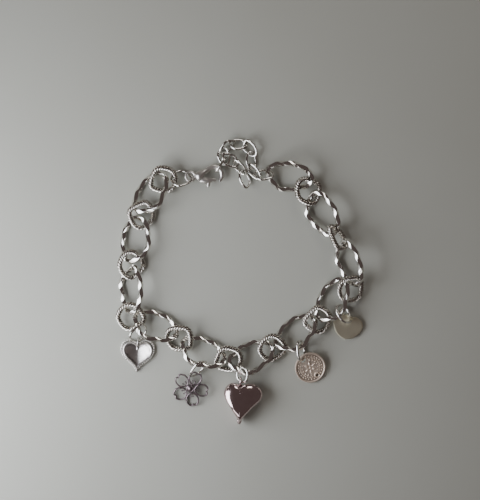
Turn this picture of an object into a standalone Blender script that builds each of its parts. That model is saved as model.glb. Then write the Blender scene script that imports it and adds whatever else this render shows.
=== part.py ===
"""A charm bracelet on a table: twisted oval links, rope rings, a clasp on an extender chain, five charms.

Sizes and places are in millimetres up to the last step, which makes each mesh and place metres.
The table is z = 0, the clasp is on the +Y side, and the origin is under the middle of the whole bracelet.
"""

import math
from collections import namedtuple
from itertools import combinations

import bmesh
import bpy
import numpy as np
from mathutils import Euler, Matrix, Quaternion, Vector

MM = 0.001
UP = Vector((0, 0, 1))

# Twisted oval links, bent from square wire
OVAL_LENGTH = 15.2
OVAL_WIDTH = 10.3
OVAL_WIRE = 1.8
OVAL_TWISTS = 2
OVAL_STEPS = 32
OVAL_BALLS = 64

# Rope rings
RING_ACROSS = 9.5
RING_WIRE = 1.7
RING_STEPS = 16
RING_BALLS = 44

# Plain links of the extender chain and the link that ties it to the last oval
TAIL_LENGTH = 6.0
TAIL_WIDTH = 4.2
TAIL_WIRE = 0.75
JOINER_LENGTH = 6.4
JOINER_WIDTH = 4.6
TAIL_STEPS = 12
TAIL_BALLS = 48

# Jump rings
JUMP_ACROSS = 5.6
LONG_JUMP_ACROSS = 7.0
JUMP_WIRE = 0.8
JUMP_STEPS = 14
WIRE_SIDES = 6
OVAL_FULLNESS = 2.3
PATH_STEPS = 720
HOLE_STEPS = 12

# Lobster clasp: rear eye, shank, hook and lever
CLASP_LENGTH = 12.2
CLASP_THICKNESS = 3.0
EYE_ACROSS = 3.6
EYE_WIRE = 0.8
HOOK_ACROSS = 6.4
HOOK_BAR = 1.5
HOOK_TIP_ANGLE = -52
HOOK_ROOT_ANGLE = 140
SHANK_WIDTH = 3.4
CLASP_SIDES = 10
PIN_PLACE = 4.6
PIN_ASIDE = -0.7
PIN_ACROSS = 0.8
LEVER_THICKNESS = 1.0
LEVER_WIDTH = 0.9
KNUCKLE_ACROSS = 1.9
NIB_PLACE = 2.6
NIB_REACH = 2.4
NIB_WIDTH = 0.8
CLASP_GAP = 0.2
PIN_ROOT = 0.4
PIN_CLEARANCE = 0.12
HOOK_STEPS = 14
HOOK_DEPTH = 1.1
KNUCKLE_STEPS = 12
EYE_STEPS = 12
# Stations of the shank from the eye to the hook: place, aside, half width and half thickness
SHANK = [
    (3.1, 0.0, 0.7, 0.6),
    (3.7, -0.1, 1.3, 1.2),
    (4.4, -0.1, 1.7, 1.5),
    (5.6, 0.5, 1.3, 1.4),
]

# Heart charms
BEADED_WIDTH = 10.6
BEADED_HEIGHT = 10.2
BEADED_THICKNESS = 1.6
BEADED_BASE = 0.8
BEAD_COUNT = 48
BEAD_ACROSS = 0.8
BEAD_RISE = 0.5
BEADED_RIM = 0.7
PUFFY_WIDTH = 12.0
PUFFY_HEIGHT = 12.6
PUFFY_THICKNESS = 6.0
PLAIN_WIDTH = 9.8
PLAIN_HEIGHT = 8.4
PLAIN_THICKNESS = 1.0
PLAIN_EDGE = 0.2
PUFFY_STEPS = 28
PUFFY_ROWS = 8
PLAIN_STEPS = 40
PUFFY_BIAS = 0.165
PUFFY_FILL = 0.15
PUFFY_FLAT = 0.08
PLAIN_EYE_FACING = 72
HEART_NOTCH = 0.26
NECK_WIDTH = 0.9
NECK_REACH = 1.4
NECK_SHARE = 0.7
EYE_SEAT = 0.25
CHARM_EYE_ACROSS = 3.0
CHARM_EYE_WIRE = 0.6

# Coin disc
DISC_ACROSS = 9.4
DISC_THICKNESS = 0.9
DISC_RIM = 0.6
DISC_RELIEF = 0.25
DISC_HOLE = 1.7
DISC_HOLE_PLACE = 3.2
DISC_EYELET = 0.9
EYELET_RISE = 1.1
EYELET_STEPS = 8
DISC_DOTS = 20
DOT_ACROSS = 0.5
DOT_SIDES = 6
DISC_STEPS = 36
ROSETTE_PETALS = 6
ROSETTE_SIDES = 8
ROSETTE_PLACE = 1.2
PETAL_LENGTH = 1.5
PETAL_WIDTH = 0.8

# Cherry blossom
BLOSSOM_ACROSS = 11.2
BLOSSOM_THICKNESS = 0.8
BLOSSOM_WIRE = 0.5
BLOSSOM_CENTRE = 2.6
CENTRE_STEPS = 14
# The centre's lift off the flower's back, then its top as a share of its width and its rise as one of the
# flower's thickness
CENTRE_LIFT = 0.05
CENTRE_TOP = 0.6
CENTRE_RISE = 1.6
BLOSSOM_PETALS = 5
PETAL_MIDDLE = 0.3
STAMEN_LENGTH = 2.5
STAMEN_WIDTH = 0.3
STAMEN_SPREAD = 11
STAMEN_ROOT = 0.42
# One petal's outline as shares of half the flower: along the petal and aside of it
PETAL = [
    (0.16, 0.0), (0.36, 0.24), (0.6, 0.42), (0.8, 0.42), (0.94, 0.3), (1.0, 0.15), (0.84, 0.0),
    (1.0, -0.15), (0.94, -0.3), (0.8, -0.42), (0.6, -0.42), (0.36, -0.24),
]
CHARM_GIVE = 0.3

# How far wires lie from each other and from the clasp and charms, and how the pieces are settled
CHAIN_GAP = 0.18
BALL_PITCH = 0.8
SETTLING_ROUNDS = 150
LOOSE_ROUNDS = 80
LOOK_ROUNDS = 12
HOMING = 0.02
SINKING = 0.04
LONGEST_PUSH = 0.4

# Where a piece lies: the middle's place on the table, then in degrees the turn of its long axis from +X, the
# roll about that axis and the pitch that raises its rear end, and how far it is lifted off the table
Spot = namedtuple("Spot", "name x y heading roll pitch lift")

CHAIN = [
    Spot("rope_ring_01", -24.6, 30.7, 225, -25, 0, 0),
    Spot("oval_link_01", -27.7, 26.5, 235, 26, 0, 0),
    Spot("rope_ring_02", -30.8, 20.1, 248, -26, 0, 0),
    Spot("oval_link_02", -32.5, 13.0, 262, 26, 0, 0),
    Spot("rope_ring_03", -33.9, 5.2, 268, -28, 0, 0),
    Spot("oval_link_03", -33.9, -2.7, 270, 42, 0, 0),
    Spot("rope_ring_04", -34.0, -10.8, 355, 16, 0, 0.9),
    Spot("oval_link_04", -26.4, -13.8, 338, -25, 0, 0),
    Spot("rope_ring_05", -19.3, -17.3, 330, 26, 0, 0),
    Spot("oval_link_05", -12.1, -21.7, 338, -25, 0, 0),
    Spot("rope_ring_06", -4.1, -24.1, 0, 28, 0, 0),
    Spot("oval_link_06", 3.1, -22.3, 20, -25, 0, 0),
    Spot("rope_ring_07", 8.8, -20.2, 30, 25, 0, 0),
    Spot("oval_link_07", 16.4, -15.3, 38, -25, 0, 0),
    Spot("rope_ring_08", 23.0, -11.8, 45, 25, 0, 0),
    Spot("oval_link_08", 27.2, -5.4, 60, -25, 0, 0),
    Spot("rope_ring_09", 33.0, -2.8, 80, 19, 0, 0.5),
    Spot("oval_link_09", 31.9, 5.6, 103, -45, 0, 0),
    Spot("rope_ring_10", 29.2, 12.8, 110, 65, 0, 0),
    Spot("oval_link_10", 24.0, 20.2, 113, -20, 8, 0),
    Spot("rope_ring_11", 19.4, 28.0, 125, 25, 0, 0),
    Spot("oval_link_11", 14.3, 31.7, 175, -25, 0, 0),
]
EXTENDER = [
    Spot("joiner_link", 6.4, 32.4, 180, 38, 0, 0),
    Spot("extender_link_01", 3.2, 33.0, 130, -40, 0, 0),
    Spot("extender_link_02", 2.4, 36.7, 93, 40, 0, 0),
    Spot("extender_link_03", 2.4, 40.4, 125, -35, 0, 0),
    Spot("extender_link_04", -1.5, 41.5, 180, 40, 0, 0),
    Spot("extender_link_05", -5.0, 40.9, 225, -45, 0, 0),
    Spot("extender_link_06", -5.6, 37.9, 280, 20, 0, 0),
    Spot("extender_link_07", -7.0, 35.3, 239, 88, 0, 0),
    Spot("extender_link_08", -3.8, 36.6, 325, -12, 8, 1.6),
    Spot("extender_link_09", -0.9, 34.6, 310, 50, 10, 0),
    Spot("extender_link_10", 0.7, 31.2, 285, -35, 0, 0),
]
CHARMS = [
    Spot("beaded_heart", -32.2, -22.6, 0, 0, 0, 0),
    Spot("cherry_blossom", -16.0, -32.6, 64, 0, -12, 0),
    Spot("puffy_heart", -0.9, -37.3, 0, 0, 0, 0),
    Spot("coin_disc", 20.4, -26.3, 135, 0, -14, 0),
    Spot("plain_heart", 31.7, -14.6, -13, 0, 0, 0),
]
RESTING = CHARMS[-1]
RINGS = [
    Spot("clasp_ring", -18.6, 31.4, 3, -50, 6, 0),
    Spot("beaded_heart_ring", -31.7, -16.4, 264, -45, 18, 0.3),
    Spot("blossom_ring", -13.7, -26.5, 235, -65, 22, 0.4),
    Spot("puffy_heart_ring", -0.8, -28.4, 268, 40, 6, 1.4),
    Spot("disc_ring", 17.7, -21.0, 280, -55, 18, 0.3),
    Spot("plain_heart_ring", 30.6, -9.8, 329, -50, 25, 0.2),
]
LONG_RINGS = ("clasp_ring", "beaded_heart_ring", "blossom_ring", "disc_ring", "plain_heart_ring")
CLASP = Spot("clasp_body", -17.8, 31.7, 4, 0, 0, 0.4)


def polished(name, colour, roughness):
    material = bpy.data.materials.new(name)
    material.use_nodes = True
    shader = material.node_tree.nodes["Principled BSDF"]
    shader.inputs["Base Color"].default_value = (*colour, 1)
    shader.inputs["Metallic"].default_value = 1
    shader.inputs["Roughness"].default_value = roughness
    return material


STEEL = (0.63, 0.61, 0.58)
PLATED = polished("bright_plating", STEEL, 0.15)
CAST = polished("cast_plating", (0.5, 0.48, 0.46), 0.35)


def oval_path(length, width, wire, steps):
    """Points at even steps round the middle of a flat oval link, each with its outward direction."""
    half_long = (length - wire) / 2
    half_wide = (width - wire) / 2

    def at(number):
        turn = math.tau * number / PATH_STEPS
        reach = abs(math.cos(turn)) ** OVAL_FULLNESS + abs(math.sin(turn)) ** OVAL_FULLNESS
        reach = reach ** (-1 / OVAL_FULLNESS)
        return Vector((half_long * reach * math.cos(turn), half_wide * reach * math.sin(turn), 0))

    points = [at(number) for number in range(PATH_STEPS + 1)]
    run = [0]
    for near, far in zip(points, points[1:]):
        run.append(run[-1] + (far - near).length)
    path = []
    number = 0
    for step in range(steps):
        while run[number + 1] <= run[-1] * step / steps:
            number += 1
        along = (points[number + 1] - points[number]).normalized()
        path.append((points[number], along.cross(UP)))
    return path


def round_path(across, wire, steps):
    reach = (across - wire) / 2
    turns = [math.tau * step / steps for step in range(steps)]
    ways = [Vector((math.cos(turn), math.sin(turn), 0)) for turn in turns]
    return [(way * reach, way) for way in ways]


def wire_section(wire, sides, start=0.0):
    turns = [start + math.tau * side / sides for side in range(sides)]
    return [(wire / 2 * math.cos(turn), wire / 2 * math.sin(turn)) for turn in turns]


def bridge(bm, near, far):
    """Joins two rings of as many points with four-sided faces."""
    for side in range(len(near)):
        bm.faces.new((near[side - 1], near[side], far[side], far[side - 1]))


def closed_tube(bm, path, section):
    """Carries the wire's section round a closed flat path; section(share) gives (outward, upward) pairs."""
    rings = []
    for step, (place, outward) in enumerate(path):
        pairs = section(step / len(path))
        rings.append([bm.verts.new(place + outward * out + UP * rise) for out, rise in pairs])
    for near, far in zip(rings, rings[1:] + rings[:1]):
        bridge(bm, near, far)


def lofted(bm, rings):
    """Joins rings of points one after another and closes both ends."""
    made = [[bm.verts.new(point) for point in ring] for ring in rings]
    for near, far in zip(made, made[1:]):
        bridge(bm, near, far)
    bm.faces.new(made[0])
    bm.faces.new(made[-1])


def prism(bm, outline, bottom, top, holes=()):
    """A plate of one outline with holes cut through."""
    edges = []
    for loop in (outline, *holes):
        corners = [bm.verts.new((point[0], point[1], bottom)) for point in loop]
        edges += [bm.edges.new((corners[number - 1], corners[number])) for number in range(len(corners))]
    filled = bmesh.ops.triangle_fill(bm, use_beauty=True, edges=edges)
    faces = [item for item in filled["geom"] if isinstance(item, bmesh.types.BMFace)]
    raised = bmesh.ops.extrude_face_region(bm, geom=faces, use_keep_orig=True)["geom"]
    corners = [item for item in raised if isinstance(item, bmesh.types.BMVert)]
    bmesh.ops.translate(bm, verts=corners, vec=UP * (top - bottom))


def combined(first, second, operation):
    """The Boolean of two bmeshes, as a new bmesh."""
    made = []
    for bm in (first, second):
        bmesh.ops.recalc_face_normals(bm, faces=bm.faces)
        mesh = bpy.data.meshes.new("shape")
        bm.to_mesh(mesh)
        bm.free()
        made.append(bpy.data.objects.new("shape", mesh))
        bpy.context.collection.objects.link(made[-1])
    cut = made[0].modifiers.new("cut", "BOOLEAN")
    cut.operation = operation
    cut.solver = "EXACT"
    cut.object = made[1]
    graph = bpy.context.evaluated_depsgraph_get()
    result = bmesh.new()
    result.from_mesh(made[0].evaluated_get(graph).to_mesh())
    for item in made:
        bpy.data.objects.remove(item)
    return result


def finished(name, bm, material, smooth_under=40):
    """Makes the object of a mesh in millimetres, in metres, with its normals out."""
    bmesh.ops.recalc_face_normals(bm, faces=bm.faces)
    bmesh.ops.scale(bm, vec=(MM, MM, MM), verts=bm.verts)
    mesh = bpy.data.meshes.new(name)
    bm.to_mesh(mesh)
    bm.free()
    mesh.materials.append(material)
    mesh.shade_smooth()
    mesh.set_sharp_from_angle(angle=math.radians(smooth_under))
    piece = bpy.data.objects.new(name, mesh)
    bpy.context.collection.objects.link(piece)
    return piece


class Lying:
    """A piece on the table: the balls that fill it out, its place and turn, and how freely it gives way."""

    def __init__(self, piece, spot, balls, give=1.0):
        self.piece = piece
        self.spot = spot
        self.give = give
        self.balls = balls[:, :3]
        self.radii = balls[:, 3]
        far = np.sum(self.balls ** 2, axis=1)
        self.spin = max(np.mean(far) / 2, 1.0)
        self.reach = math.sqrt(np.max(far)) + self.radii[0]
        turns = [math.radians(turn) for turn in (spot.roll, spot.pitch, spot.heading)]
        self.home = Euler(turns).to_quaternion()
        self.turn = self.home.copy()
        self.place = np.array((spot.x, spot.y, 0.0))
        self.spread()
        self.place[2] = spot.lift - self.lowest()
        self.spread()

    def spread(self):
        self.at = self.balls @ np.array(self.turn.to_matrix()).T + self.place

    def lowest(self):
        return np.min(self.at[:, 2] - self.radii)

    def pushed(self, point, push):
        """Moves and turns the piece as a push at one of its points would."""
        arm = np.cross(point - self.place, push) / self.spin
        self.place = self.place + push
        self.turn = Quaternion(arm, np.linalg.norm(arm)) @ self.turn
        self.spread()

    def yields(self, point, way):
        """How far a push along a direction at a point moves that point."""
        return self.give * (1 + np.sum(np.cross(point - self.place, way) ** 2) / self.spin)

    def homed(self):
        """Draws the piece back to the place and turn of its row."""
        self.place[:2] += (np.array((self.spot.x, self.spot.y)) - self.place[:2]) * HOMING
        self.turn = self.turn.slerp(self.home, HOMING)
        self.spread()

    def sunk(self):
        """Lets a piece sink a little towards the table."""
        self.place[2] -= max(self.lowest() - self.spot.lift, 0) * SINKING
        self.spread()

    def grounded(self):
        """Lifts a piece out of the table at its lowest point."""
        number = np.argmin(self.at[:, 2] - self.radii)
        depth = self.radii[number] - self.at[number][2]
        if depth > 0:
            lift = depth * self.give / self.yields(self.at[number], np.array((0, 0, 1.0)))
            self.pushed(self.at[number], np.array((0, 0, lift)))


def touch(near, far):
    """The closest balls of two pieces, and how far apart their surfaces are."""
    square = np.sum(near.at ** 2, axis=1)[:, None] + np.sum(far.at ** 2, axis=1)[None]
    square = square - 2 * near.at @ far.at.T
    number = np.argmin(square)
    one, other = divmod(number, len(far.at))
    apart = np.linalg.norm(near.at[one] - far.at[other]) - near.radii[one] - far.radii[other]
    return apart, near.at[one], far.at[other]


def close(near, far):
    """Tells whether two pieces lie near enough to meet."""
    if near.give + far.give == 0:
        return False
    if np.linalg.norm(near.place - far.place) > near.reach + far.reach + CHAIN_GAP:
        return False
    return touch(near, far)[0] < 4 * CHAIN_GAP


def eased(near, far):
    """Pushes two pieces apart where they are nearer than the chain's gap."""
    gap, one, other = touch(near, far)
    if gap >= CHAIN_GAP:
        return gap
    way = one - other
    way = way / np.linalg.norm(way)
    give = near.yields(one, way) + far.yields(other, way)
    push = min(CHAIN_GAP - gap, LONGEST_PUSH) / give
    if near.give:
        near.pushed(one, way * push * near.give)
    if far.give:
        far.pushed(other, -way * push * far.give)
    return gap


def settled(pieces):
    """Pushes touching pieces apart and rests them on the table, round after round, and sets the objects so.

    A push is always shorter than a wire is thick, so rings that start linked stay linked.
    """
    pairs = []
    for number in range(SETTLING_ROUNDS + LOOSE_ROUNDS):
        if number % LOOK_ROUNDS == 0:
            pairs = [(near, far) for near, far in combinations(pieces, 2) if close(near, far)]
        for near, far in pairs:
            eased(near, far)
        for item in pieces:
            if item.give == 0:
                continue
            if number < SETTLING_ROUNDS:
                item.homed()
                item.sunk()
            item.grounded()
    for item in pieces:
        item.place[2] -= item.lowest() if item.lowest() < 0 else 0
        item.piece.rotation_euler = item.turn.to_euler()
        item.piece.location = [value * MM for value in item.place]


def wire_balls(path, wire):
    return np.array([(*place, wire / 2) for place, outward in path])


def skin_balls(piece):
    """Points spread over a piece's faces, no further apart than the ball pitch."""
    mesh = piece.data
    mesh.calc_loop_triangles()
    found = {}
    for triangle in mesh.loop_triangles:
        a, b, c = (mesh.vertices[number].co / MM for number in triangle.vertices)
        longest = max((a - b).length, (b - c).length, (c - a).length)
        parts = math.ceil(longest / BALL_PITCH)
        for one in range(parts + 1):
            for other in range(parts + 1 - one):
                point = a + (b - a) * one / parts + (c - a) * other / parts
                cell = tuple(round(value / BALL_PITCH * 2) for value in point)
                found.setdefault(cell, (*point, 0.0))
    return np.array(list(found.values()))


def twisted_section(share):
    return wire_section(OVAL_WIRE, 4, math.tau * OVAL_TWISTS * share)


def oval_link(name):
    bm = bmesh.new()
    closed_tube(bm, oval_path(OVAL_LENGTH, OVAL_WIDTH, OVAL_WIRE, OVAL_STEPS), twisted_section)
    return finished(name, bm, PLATED)


def plain_link(name, length, width, wire, steps):
    bm = bmesh.new()
    closed_tube(bm, oval_path(length, width, wire, steps), lambda share: wire_section(wire, WIRE_SIDES))
    return finished(name, bm, PLATED)


def round_ring(name, across, wire, steps):
    bm = bmesh.new()
    closed_tube(bm, round_path(across, wire, steps), lambda share: wire_section(wire, WIRE_SIDES))
    return finished(name, bm, PLATED)


def heart_outline(width, height, count, bias=0.0, fill=0.0):
    """The classic heart curve from its notch, which is to +Y, round by the right.

    A bias makes the right lobe the wider one; a fill makes the notch shallow by a share of the height.
    """
    points = []
    for number in range(count):
        turn = math.tau * number / count
        across = 16 * math.sin(turn) ** 3 / 32
        along = 13 * math.cos(turn) - 5 * math.cos(2 * turn) - 2 * math.cos(3 * turn) - math.cos(4 * turn)
        along = (along + 2.5) / 29 + fill * max(math.cos(turn), 0) ** 6
        points.append(Vector((across * width * (1 + math.copysign(bias, across)), along * height, 0)))
    return points


def hook_path():
    """The middle of the hook's bar from the shank to the tip, each place with its outward direction."""
    reach = (HOOK_ACROSS - HOOK_BAR) / 2
    centre = Vector((CLASP_LENGTH - HOOK_ACROSS / 2, 0, 0))
    path = []
    for step in range(HOOK_STEPS + 1):
        turn = math.radians(HOOK_ROOT_ANGLE + (HOOK_TIP_ANGLE - HOOK_ROOT_ANGLE) * step / HOOK_STEPS)
        outward = Vector((math.cos(turn), math.sin(turn), 0))
        path.append((centre + outward * reach, outward))
    return path


def clasp_body(name):
    """The clasp's eye, shank, hook and lever pin, lying flat with the eye's rear at x = 0."""
    middle = CLASP_THICKNESS / 2
    stations = []
    for place, aside, half_wide, half_thick in SHANK:
        stations.append((Vector((place, aside, 0)), Vector((0, 1, 0)), half_wide, half_thick))
    for place, outward in hook_path():
        stations.append((place, outward, HOOK_BAR / 2, HOOK_BAR / 2 * HOOK_DEPTH))
    rings = []
    for place, outward, half_wide, half_thick in stations:
        ring = []
        for side in range(CLASP_SIDES):
            turn = math.tau * (side + 0.5) / CLASP_SIDES
            offset = outward * half_wide * math.cos(turn) + UP * (middle + half_thick * math.sin(turn))
            ring.append(place + offset)
        rings.append(ring)
    body = bmesh.new()
    lofted(body, rings)
    body, eye_balls = with_eye(body, Vector((EYE_ACROSS / 2, 0, middle)), EYE_ACROSS, EYE_WIRE)
    slot = bmesh.new()
    half_slot = LEVER_THICKNESS / 2 + CLASP_GAP
    deep = PIN_ASIDE + KNUCKLE_ACROSS / 2 + CLASP_GAP
    front = CLASP_LENGTH - HOOK_ACROSS / 2
    back = PIN_PLACE - KNUCKLE_ACROSS / 2 - CLASP_GAP
    outline = [(back, -SHANK_WIDTH), (front, -SHANK_WIDTH), (front, deep), (back, deep)]
    prism(slot, outline, middle - half_slot, middle + half_slot)
    body = combined(body, slot, "DIFFERENCE")
    pin = bmesh.new()
    outline = [(PIN_PLACE + x, PIN_ASIDE + y) for x, y in wire_section(PIN_ACROSS, HOLE_STEPS)]
    prism(pin, outline, middle - half_slot - PIN_ROOT, middle + half_slot + PIN_ROOT)
    hook = [(place + UP * middle, outward) for place, outward in hook_path()]
    hook_balls = wire_balls(hook, HOOK_BAR * HOOK_DEPTH)
    return finished(name, combined(body, pin, "UNION"), CAST), [eye_balls, hook_balls]


def clasp_lever(name):
    """The lever about its pin's axis: its knuckle, its bar to the hook's tip and its thumb nib."""
    tip, outward = hook_path()[-1]
    reach = Vector((tip.x - PIN_PLACE, tip.y - PIN_ASIDE, 0))
    along = reach.normalized()
    aside = UP.cross(along)
    length = reach.length - HOOK_BAR / 2 - CLASP_GAP
    half = LEVER_WIDTH / 2
    knuckle = KNUCKLE_ACROSS / 2
    nib = along * NIB_PLACE
    outline = []
    first = math.asin(half / knuckle)
    for step in range(KNUCKLE_STEPS + 1):
        turn = first + (math.tau - 2 * first) * step / KNUCKLE_STEPS
        outline.append(along * knuckle * math.cos(turn) + aside * knuckle * math.sin(turn))
    outline.append(nib - aside * half)
    outline.append(nib - aside * NIB_REACH)
    outline.append(nib - aside * NIB_REACH + along * NIB_WIDTH)
    outline.append(nib - aside * half + along * NIB_WIDTH)
    outline.append(along * length - aside * half)
    outline.append(along * length + aside * half)
    hole = [Vector((x, y, 0)) for x, y in wire_section(PIN_ACROSS + 2 * PIN_CLEARANCE, HOLE_STEPS)]
    bm = bmesh.new()
    prism(bm, outline, -LEVER_THICKNESS / 2, LEVER_THICKNESS / 2, [hole])
    return finished(name, bm, CAST)


def with_eye(bm, place, across, wire, facing=None):
    """Joins a small ring of wire to another shape.

    The ring lies flat, or stands with its hole facing so many degrees from +X. Gives the joined shape and
    the ring's balls.
    """
    path = round_path(across, wire, EYE_STEPS)
    turn = Matrix.Translation(place)
    if facing is not None:
        upright = Matrix.Rotation(math.radians(90), 4, "Y")
        turn = turn @ Matrix.Rotation(math.radians(facing), 4, "Z") @ upright
    ring = bmesh.new()
    closed_tube(ring, path, lambda share: wire_section(wire, WIRE_SIDES))
    ring.transform(turn)
    middles = [(turn @ point, outward) for point, outward in round_path(across, wire, 2 * EYE_STEPS)]
    return combined(bm, ring, "UNION"), wire_balls(middles, wire)


def hung(bm, notch, middle, thickness, facing):
    """Gives a charm its upright eye on a short neck at its notch."""
    reach = CHARM_EYE_ACROSS / 2 - CHARM_EYE_WIRE / 2
    place = Vector((0, notch + reach * NECK_REACH, max(middle, CHARM_EYE_ACROSS / 2)))
    neck = bmesh.new()
    half = NECK_WIDTH / 2
    far = place.y - reach * (1 - EYE_SEAT)
    outline = [(-half, notch - NECK_WIDTH), (half, notch - NECK_WIDTH), (half, far), (-half, far)]
    prism(neck, outline, middle - thickness * NECK_SHARE / 2, middle + thickness * NECK_SHARE / 2)
    bm = combined(bm, neck, "UNION")
    return with_eye(bm, place, CHARM_EYE_ACROSS, CHARM_EYE_WIRE, facing)


def capped(bm, loops):
    """Joins loops of points one after another and fills the first and the last with triangles."""
    made = [[bm.verts.new(point) for point in loop] for loop in loops]
    for near, far in zip(made, made[1:]):
        bridge(bm, near, far)
    for loop in (made[0], made[-1]):
        edges = [bm.edges.get((loop[number - 1], loop[number])) for number in range(len(loop))]
        bmesh.ops.triangle_fill(bm, use_beauty=True, edges=edges)


def raised(outline, share, height):
    """An outline drawn in by a share of its size, at a height."""
    return [Vector((point.x * share, point.y * share, height)) for point in outline]


def beaded_heart(name):
    """A dished heart with a raised rim and beads round it, with an eye at its notch."""
    outline = heart_outline(BEADED_WIDTH, BEADED_HEIGHT, BEAD_COUNT * 2)
    inside = 1 - 2 * BEAD_ACROSS / BEADED_WIDTH
    rim = inside - 2 * BEADED_RIM / BEADED_WIDTH
    beaded = []
    crown = []
    for number, point in enumerate(outline):
        under_neck = point.y > 0 and abs(point.x) < NECK_WIDTH / 2
        valley = number % 2 == 0 and not under_neck
        swell = 1 - BEAD_ACROSS / BEADED_WIDTH if valley else 1
        beaded.append(Vector((point.x * swell, point.y * swell, BEADED_BASE)))
        height = BEADED_BASE + (BEAD_RISE / 3 if valley or under_neck else BEAD_RISE)
        middle = (1 + inside) / 2
        crown.append(Vector((point.x * middle, point.y * middle, height)))
    bm = bmesh.new()
    capped(bm, [
        raised(outline, inside, 0),
        raised(beaded, 1, BEADED_BASE / 2),
        beaded,
        crown,
        raised(outline, inside, BEADED_BASE),
        raised(outline, (inside + rim) / 2, BEADED_THICKNESS),
        raised(outline, rim, BEADED_THICKNESS - BEAD_RISE / 2),
        raised(outline, rim / 2, BEADED_BASE),
    ])
    bm, eye_balls = hung(bm, BEADED_HEIGHT * HEART_NOTCH, BEADED_BASE / 2, BEADED_BASE, 0)
    return finished(name, bm, CAST), [eye_balls]


def puffy_heart(name):
    """A swelled heart lying on its back, with an upright eye at its notch."""
    outline = heart_outline(PUFFY_WIDTH, PUFFY_HEIGHT, PUFFY_STEPS, PUFFY_BIAS, PUFFY_FILL)
    loops = []
    for step in range(PUFFY_ROWS + 1):
        turn = math.pi * (PUFFY_FLAT + (1 - 2 * PUFFY_FLAT) * step / PUFFY_ROWS)
        loops.append(raised(outline, math.sin(turn), PUFFY_THICKNESS / 2 * (1 - math.cos(turn))))
    bm = bmesh.new()
    capped(bm, loops)
    notch = PUFFY_HEIGHT * (HEART_NOTCH + PUFFY_FILL)
    bm, eye_balls = hung(bm, notch, PUFFY_THICKNESS / 2, CHARM_EYE_WIRE * 2, 0)
    return finished(name, bm, PLATED), [eye_balls]


def plain_heart(name):
    """A flat polished heart with an eye laid flat at its notch."""
    outline = heart_outline(PLAIN_WIDTH, PLAIN_HEIGHT, PLAIN_STEPS)
    inside = 1 - 2 * PLAIN_EDGE / PLAIN_WIDTH
    bm = bmesh.new()
    capped(bm, [
        raised(outline, inside, 0),
        raised(outline, 1, PLAIN_EDGE),
        raised(outline, 1, PLAIN_THICKNESS - PLAIN_EDGE),
        raised(outline, inside, PLAIN_THICKNESS),
    ])
    notch = PLAIN_HEIGHT * HEART_NOTCH
    bm, eye_balls = hung(bm, notch, PLAIN_THICKNESS / 2, PLAIN_THICKNESS, PLAIN_EYE_FACING)
    return finished(name, bm, PLATED), [eye_balls]


def round_outline(across, steps, x=0.0, y=0.0):
    return [Vector((x + dx, y + dy, 0)) for dx, dy in wire_section(across, steps)]


def coin_disc(name):
    """A thin disc with a raised rim, a ring of dots, a six-petalled rosette and a hole for its ring."""
    edge = round_outline(DISC_ACROSS, DISC_STEPS)
    inner = 1 - 2 * DISC_RIM / DISC_ACROSS
    bm = bmesh.new()
    capped(bm, [
        raised(edge, 1, 0),
        raised(edge, 1, DISC_THICKNESS),
        raised(edge, inner, DISC_THICKNESS),
        raised(edge, inner, DISC_THICKNESS - DISC_RELIEF),
    ])
    relief = bmesh.new()
    foot = DISC_THICKNESS - 2 * DISC_RELIEF
    ring = DISC_ACROSS / 2 - DISC_RIM - DOT_ACROSS
    for number in range(DISC_DOTS):
        turn = math.tau * (number + 0.5) / DISC_DOTS
        if abs(math.cos(turn) * ring) < DISC_HOLE_PLACE - DISC_HOLE / 2 - DOT_ACROSS:
            prism(relief, round_outline(DOT_ACROSS, DOT_SIDES, ring * math.cos(turn), ring * math.sin(turn)),
                  foot, DISC_THICKNESS - DISC_RELIEF / 4)
    for number in range(ROSETTE_PETALS):
        turn = math.tau * (number + 0.5) / ROSETTE_PETALS
        way = Vector((math.cos(turn), math.sin(turn), 0))
        aside = UP.cross(way)
        petal = []
        for x, y in wire_section(1, ROSETTE_SIDES):
            petal.append(way * (ROSETTE_PLACE + x * PETAL_LENGTH) + aside * y * PETAL_WIDTH)
        prism(relief, petal, foot, DISC_THICKNESS - DISC_RELIEF / 4)
    eyelet = round_outline(DISC_EYELET * 2, HOLE_STEPS, -DISC_HOLE_PLACE)
    prism(relief, eyelet, foot, DISC_THICKNESS * EYELET_RISE)
    bm = combined(bm, relief, "UNION")
    hole = bmesh.new()
    prism(hole, round_outline(DISC_HOLE, HOLE_STEPS, DISC_HOLE_PLACE), -DISC_THICKNESS, 2 * DISC_THICKNESS)
    small = round_outline(DISC_EYELET, EYELET_STEPS, -DISC_HOLE_PLACE)
    prism(hole, small, -DISC_THICKNESS, 2 * DISC_THICKNESS)
    return finished(name, combined(bm, hole, "DIFFERENCE"), CAST), []


def petal_outline(inset):
    """One notched petal along +X from the flower's middle, drawn in by an inset."""
    points = []
    for along, aside in PETAL:
        x = BLOSSOM_ACROSS / 2 * along
        y = BLOSSOM_ACROSS / 2 * aside
        points.append(Vector((x, y, 0)))
    centre = Vector((BLOSSOM_ACROSS * PETAL_MIDDLE, 0, 0))
    return [centre + (point - centre) * (1 - inset / (point - centre).length) for point in points]


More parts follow.
